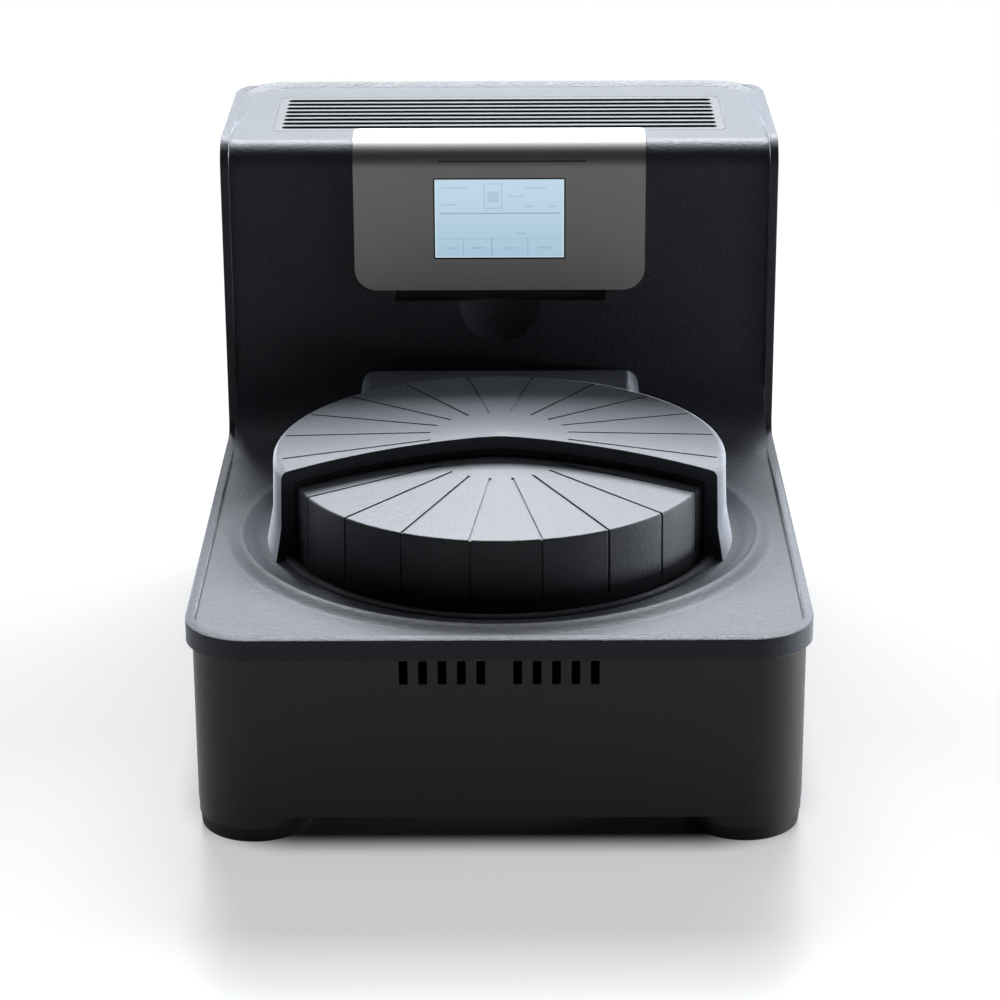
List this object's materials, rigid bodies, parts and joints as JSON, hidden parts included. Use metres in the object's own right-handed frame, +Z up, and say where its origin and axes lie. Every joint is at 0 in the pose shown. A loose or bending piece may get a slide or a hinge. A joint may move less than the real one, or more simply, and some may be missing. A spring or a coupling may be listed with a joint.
{
  "type": "planetary ball mill",
  "caption": "Benchtop planetary ball mill with a grooved turning lid under a fixed hood, a rear control tower with display, and coupled bowls on a belt-driven disk.",
  "frame": {"origin": "middle of the footprint, on the bench surface under the feet", "axes": "+Z up; +Y towards the back; +X to the user's right; the user stands at -Y"},
  "size_m": [0.4, 0.58, 0.364],
  "materials": {
    "housing_paint": "satin warm grey-green paint on sheet steel",
    "cover_plastic": "fine-textured anthracite moulded plastic",
    "panel_metal": "warm silver-grey satin metal",
    "foot_rubber": "matt black rubber",
    "seal_rubber": "matt black rubber",
    "grille_plastic": "matt dark grey plastic",
    "window_glass": "clear window over a pale blue lit display",
    "module_plastic": "matt black moulded plastic",
    "rocker_plastic": "glossy black",
    "board_laminate": "green glass-fibre laminate",
    "sheet_steel": "zinc-plated sheet",
    "guide_plastic": "white low-friction plastic",
    "machined_aluminium": "turned aluminium",
    "motor_paint": "dark grey paint",
    "bright_steel": "ground steel",
    "bowl_steel": "turned stainless steel",
    "clamp_metal": "grey anodised"
  },
  "bodies": {
    "casing": {"lower_housing": "housing_paint", "base_plate": "sheet_steel", "corner_legs": "housing_paint", "foot_front_left": "foot_rubber", "foot_front_right": "foot_rubber", "foot_rear_left": "foot_rubber", "foot_rear_right": "foot_rubber", "upper_cover": "cover_plastic", "chamber_hood": "cover_plastic", "hood_seal": "seal_rubber", "lid_guide_ring": "guide_plastic", "top_grille": "grille_plastic", "control_panel": "panel_metal", "display_window": "window_glass", "display_module": "module_plastic", "control_board": "board_laminate", "rear_panel": "sheet_steel", "panel_screws": "bright_steel", "mains_inlet": "module_plastic", "switch_frame": "module_plastic", "deck_pillars": "sheet_steel", "drive_deck": "machined_aluminium", "chamber_pan": "sheet_steel", "bearing_housing": "machined_aluminium", "main_bearings": "bright_steel", "sun_pulley": "machined_aluminium", "drive_belt": "seal_rubber", "motor_body": "motor_paint", "motor_inverter": "module_plastic", "fan_bracket": "sheet_steel", "fan_frame": "module_plastic", "lock_housing": "motor_paint"},
    "lid": {"turning_lid": "cover_plastic"},
    "lock": {"lock_bolt": "bright_steel"},
    "disk": {"main_disk": "machined_aluminium", "main_shaft": "bright_steel", "main_pulley": "machined_aluminium", "hub_cap": "machined_aluminium", "planet_belts": "seal_rubber", "planet_bearings": "bright_steel"},
    "planet_left": {"planet_spindle_left": "bright_steel", "planet_pulley_left": "machined_aluminium", "bowl_holder_left": "machined_aluminium", "bowl_left": "bowl_steel", "bowl_seal_left": "seal_rubber", "bowl_lid_left": "bowl_steel", "grinding_balls_left": "bowl_steel"},
    "planet_right": {"planet_spindle_right": "bright_steel", "planet_pulley_right": "machined_aluminium", "bowl_holder_right": "machined_aluminium", "bowl_right": "bowl_steel", "bowl_seal_right": "seal_rubber", "bowl_lid_right": "bowl_steel", "grinding_balls_right": "bowl_steel"},
    "clamp_left": {"bowl_clamp_left": "clamp_metal"},
    "clamp_right": {"bowl_clamp_right": "clamp_metal"},
    "motor_rotor": {"motor_shaft": "bright_steel", "motor_pulley": "machined_aluminium"},
    "fan": {"fan_rotor": "module_plastic"},
    "rocker": {"switch_rocker": "rocker_plastic"}
  },
  "joints": [
    {"name": "lid_turn", "type": "hinge", "parent": "casing", "child": "lid", "pos_m": [0, -0.093, 0.12], "axis": [0, 0, 1], "range_deg": [0, 180]},
    {"name": "lock_slide", "type": "slide", "parent": "casing", "child": "lock", "axis": [0, -1, 0], "range_m": [0, 0.008], "stiffness_N_per_m": 300},
    {"name": "disk_spin", "type": "hinge", "parent": "casing", "child": "disk", "pos_m": [0, -0.093, 0.1], "axis": [0, 0, 1], "continuous": true},
    {"name": "planet_spin_left", "type": "hinge", "parent": "disk", "child": "planet_left", "pos_m": [-0.07, -0.093, 0.1], "axis": [0, 0, 1], "continuous": true},
    {"name": "planet_spin_right", "type": "hinge", "parent": "disk", "child": "planet_right", "pos_m": [0.07, -0.093, 0.1], "axis": [0, 0, 1], "continuous": true},
    {"name": "clamp_turn_left", "type": "hinge", "parent": "planet_left", "child": "clamp_left", "pos_m": [-0.07, -0.093, 0.176], "axis": [0, 0, 1], "range_deg": [0, 60]},
    {"name": "clamp_turn_right", "type": "hinge", "parent": "planet_right", "child": "clamp_right", "pos_m": [0.07, -0.093, 0.176], "axis": [0, 0, 1], "range_deg": [0, 60]},
    {"name": "motor_spin", "type": "hinge", "parent": "casing", "child": "motor_rotor", "pos_m": [0, 0.172, 0.05], "axis": [0, 0, 1], "continuous": true},
    {"name": "fan_spin", "type": "hinge", "parent": "casing", "child": "fan", "pos_m": [0, 0.195, 0.317], "axis": [0, 0, 1], "continuous": true},
    {"name": "switch_rock", "type": "hinge", "parent": "casing", "child": "rocker", "pos_m": [-0.085, 0.278, 0.09], "axis": [1, 0, 0], "range_deg": [0, 12]}
  ],
  "couplings": [
    {"joint": "planet_spin_left", "follows": "disk_spin", "ratio": -2},
    {"joint": "planet_spin_right", "follows": "disk_spin", "ratio": -2},
    {"joint": "motor_spin", "follows": "disk_spin", "ratio": 1.8333}
  ]
}
